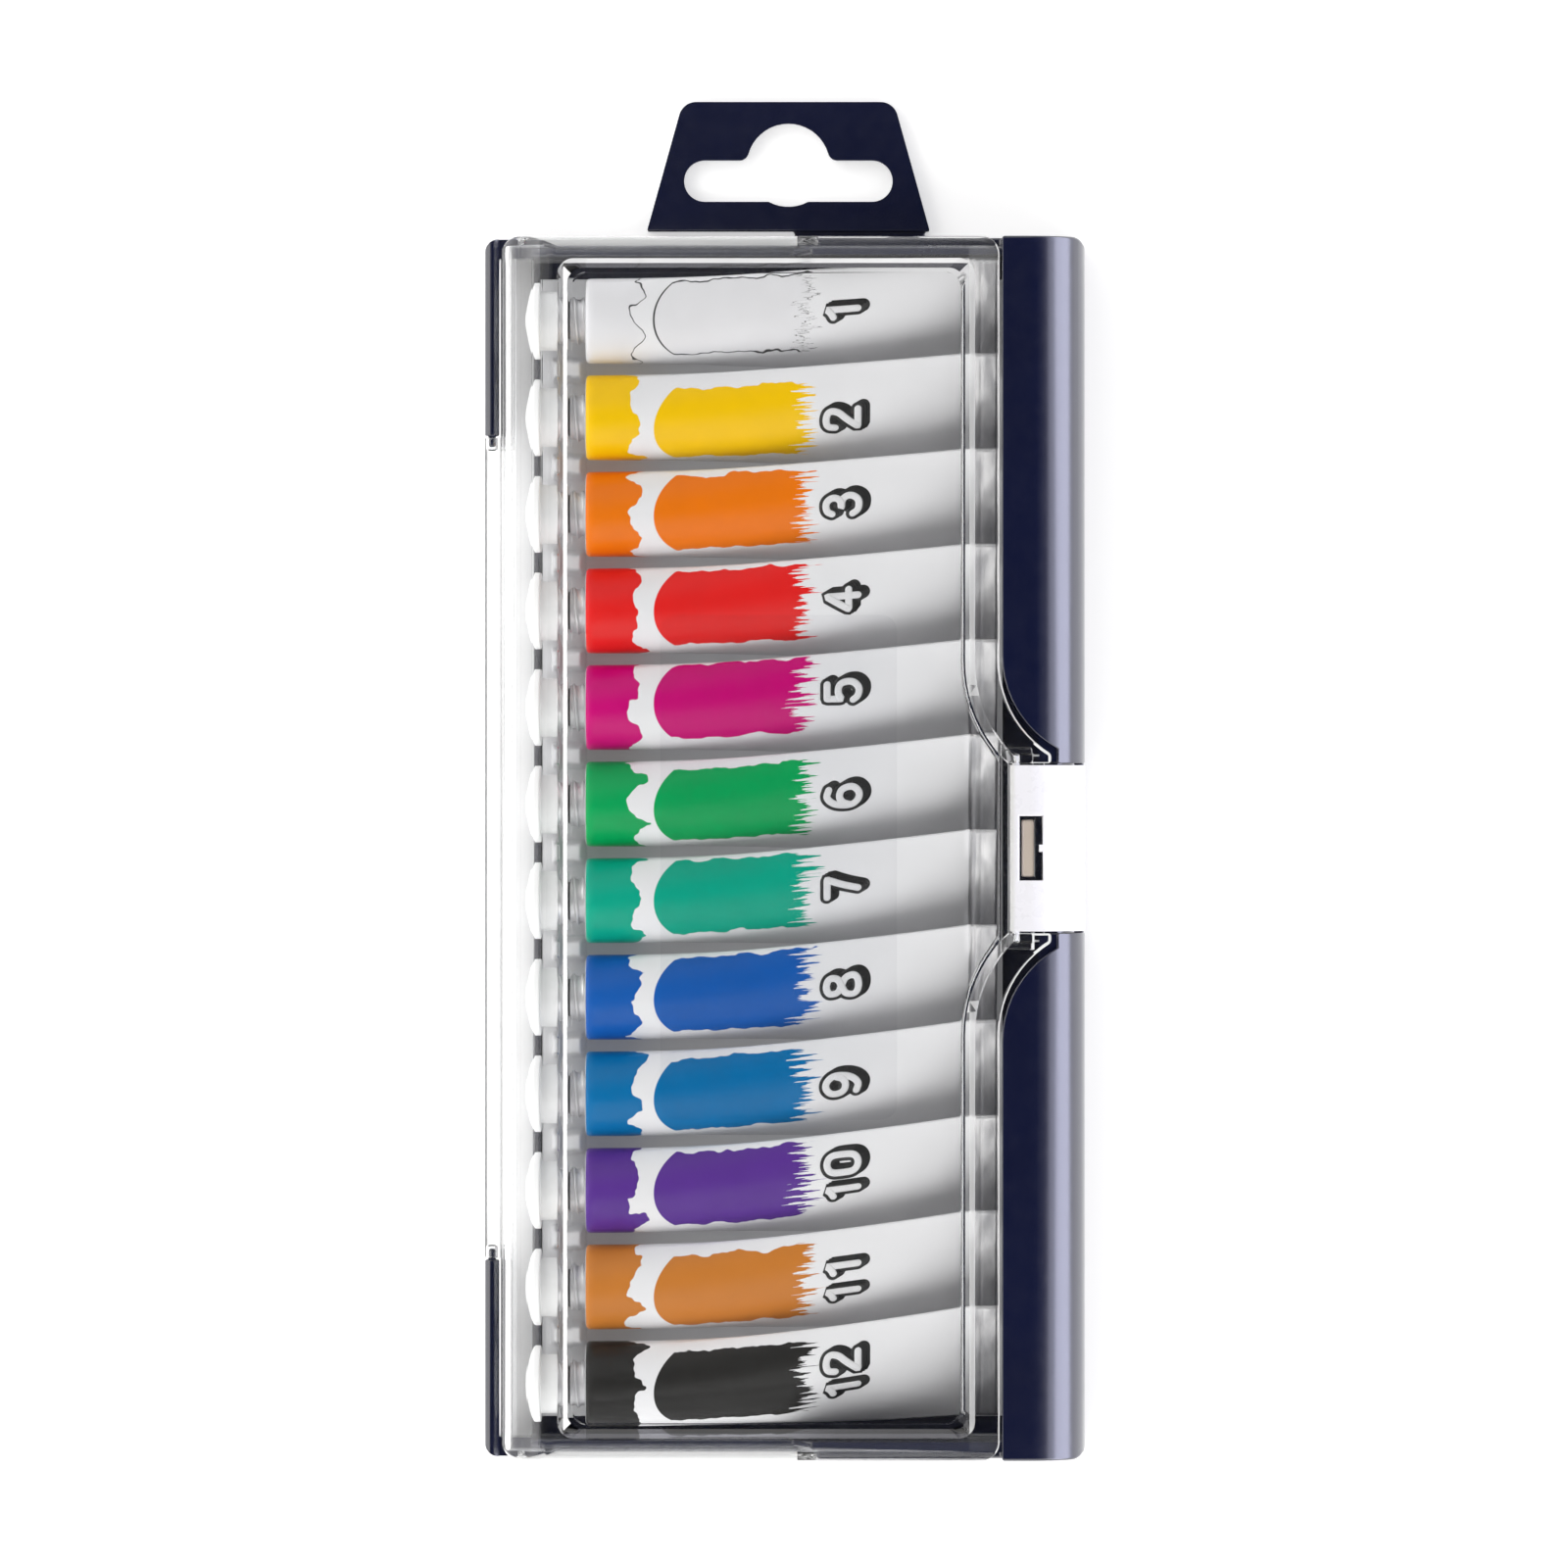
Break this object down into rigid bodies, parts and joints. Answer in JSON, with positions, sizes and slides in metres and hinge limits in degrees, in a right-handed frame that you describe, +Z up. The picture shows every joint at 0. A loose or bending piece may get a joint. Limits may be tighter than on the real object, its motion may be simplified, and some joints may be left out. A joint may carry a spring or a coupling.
{
  "type": "gouache paint box",
  "caption": "Flat paint box with a dark base, a hinged clear lid, a white snap latch and a hang tab, holding a row of gouache tubes with screw caps.",
  "frame": {"origin": "centre of the box's underside, hang tab left out", "axes": "+X from the lid hinge to the latch, +Y towards the hang tab, +Z up through the lid as the box lies on its back"},
  "size_m": [0.0958, 0.2167, 0.0201],
  "materials": {
    "navy_plastic": "satin moulded polystyrene",
    "clear_plastic": "clear polished polystyrene",
    "clear_film": "clear gloss film, bare",
    "white_plastic": "smooth moulded",
    "cap_white": "smooth moulded",
    "insert_white": "thin formed sheet",
    "tube_01": "white lacquer with a printed white label",
    "paint_01": "wet gouache, white",
    "tube_02": "white lacquer with a printed yellow label",
    "paint_02": "wet gouache, yellow",
    "tube_03": "white lacquer with a printed orange label",
    "paint_03": "wet gouache, orange",
    "tube_04": "white lacquer with a printed scarlet label",
    "paint_04": "wet gouache, scarlet",
    "tube_05": "white lacquer with a printed magenta label",
    "paint_05": "wet gouache, magenta",
    "tube_06": "white lacquer with a printed bright green label",
    "paint_06": "wet gouache, bright green",
    "tube_07": "white lacquer with a printed teal green label",
    "paint_07": "wet gouache, teal green",
    "tube_08": "white lacquer with a printed cobalt blue label",
    "paint_08": "wet gouache, cobalt blue",
    "tube_09": "white lacquer with a printed primary blue label",
    "paint_09": "wet gouache, primary blue",
    "tube_10": "white lacquer with a printed violet label",
    "paint_10": "wet gouache, violet",
    "tube_11": "white lacquer with a printed raw sienna label",
    "paint_11": "wet gouache, raw sienna",
    "tube_12": "white lacquer with a printed black label",
    "paint_12": "wet gouache, black"
  },
  "bodies": {
    "base": {"base": "navy_plastic", "tray_insert": "insert_white", "tube_01": "tube_01", "tube_02": "tube_02", "tube_03": "tube_03", "tube_04": "tube_04", "tube_05": "tube_05", "tube_06": "tube_06", "tube_07": "tube_07", "tube_08": "tube_08", "tube_09": "tube_09", "tube_10": "tube_10", "tube_11": "tube_11", "tube_12": "tube_12", "paint_01": "paint_01", "paint_02": "paint_02", "paint_03": "paint_03", "paint_04": "paint_04", "paint_05": "paint_05", "paint_06": "paint_06", "paint_07": "paint_07", "paint_08": "paint_08", "paint_09": "paint_09", "paint_10": "paint_10", "paint_11": "paint_11", "paint_12": "paint_12"},
    "lid": {"lid": "clear_plastic", "lid_film": "clear_film"},
    "latch": {"latch": "white_plastic"},
    "cap_01": {"cap_01": "cap_white"},
    "cap_02": {"cap_02": "cap_white"},
    "cap_03": {"cap_03": "cap_white"},
    "cap_04": {"cap_04": "cap_white"},
    "cap_05": {"cap_05": "cap_white"},
    "cap_06": {"cap_06": "cap_white"},
    "cap_07": {"cap_07": "cap_white"},
    "cap_08": {"cap_08": "cap_white"},
    "cap_09": {"cap_09": "cap_white"},
    "cap_10": {"cap_10": "cap_white"},
    "cap_11": {"cap_11": "cap_white"},
    "cap_12": {"cap_12": "cap_white"}
  },
  "joints": [
    {"name": "lid_hinge", "type": "hinge", "parent": "base", "child": "lid", "pos_m": [-0.04675, 0, 0.006], "axis": [0, -1, 0], "range_deg": [0, 130]},
    {"name": "latch_hinge", "type": "hinge", "parent": "lid", "child": "latch", "pos_m": [0.0367, 0, 0.01745], "axis": [0, -1, 0], "range_deg": [0, 90]},
    {"name": "cap_01_turn", "type": "hinge", "parent": "base", "child": "cap_01", "pos_m": [-0.0367, 0.084, 0.00925], "axis": [-1, 0, 0], "continuous": true},
    {"name": "cap_02_turn", "type": "hinge", "parent": "base", "child": "cap_02", "pos_m": [-0.0367, 0.0686, 0.00925], "axis": [-1, 0, 0], "continuous": true},
    {"name": "cap_03_turn", "type": "hinge", "parent": "base", "child": "cap_03", "pos_m": [-0.0367, 0.0532, 0.00925], "axis": [-1, 0, 0], "continuous": true},
    {"name": "cap_04_turn", "type": "hinge", "parent": "base", "child": "cap_04", "pos_m": [-0.0367, 0.0378, 0.00925], "axis": [-1, 0, 0], "continuous": true},
    {"name": "cap_05_turn", "type": "hinge", "parent": "base", "child": "cap_05", "pos_m": [-0.0367, 0.0224, 0.00925], "axis": [-1, 0, 0], "continuous": true},
    {"name": "cap_06_turn", "type": "hinge", "parent": "base", "child": "cap_06", "pos_m": [-0.0367, 0.007, 0.00925], "axis": [-1, 0, 0], "continuous": true},
    {"name": "cap_07_turn", "type": "hinge", "parent": "base", "child": "cap_07", "pos_m": [-0.0367, -0.0084, 0.00925], "axis": [-1, 0, 0], "continuous": true},
    {"name": "cap_08_turn", "type": "hinge", "parent": "base", "child": "cap_08", "pos_m": [-0.0367, -0.0238, 0.00925], "axis": [-1, 0, 0], "continuous": true},
    {"name": "cap_09_turn", "type": "hinge", "parent": "base", "child": "cap_09", "pos_m": [-0.0367, -0.0392, 0.00925], "axis": [-1, 0, 0], "continuous": true},
    {"name": "cap_10_turn", "type": "hinge", "parent": "base", "child": "cap_10", "pos_m": [-0.0367, -0.0546, 0.00925], "axis": [-1, 0, 0], "continuous": true},
    {"name": "cap_11_turn", "type": "hinge", "parent": "base", "child": "cap_11", "pos_m": [-0.0367, -0.07, 0.00925], "axis": [-1, 0, 0], "continuous": true},
    {"name": "cap_12_turn", "type": "hinge", "parent": "base", "child": "cap_12", "pos_m": [-0.0367, -0.0854, 0.00925], "axis": [-1, 0, 0], "continuous": true}
  ]
}
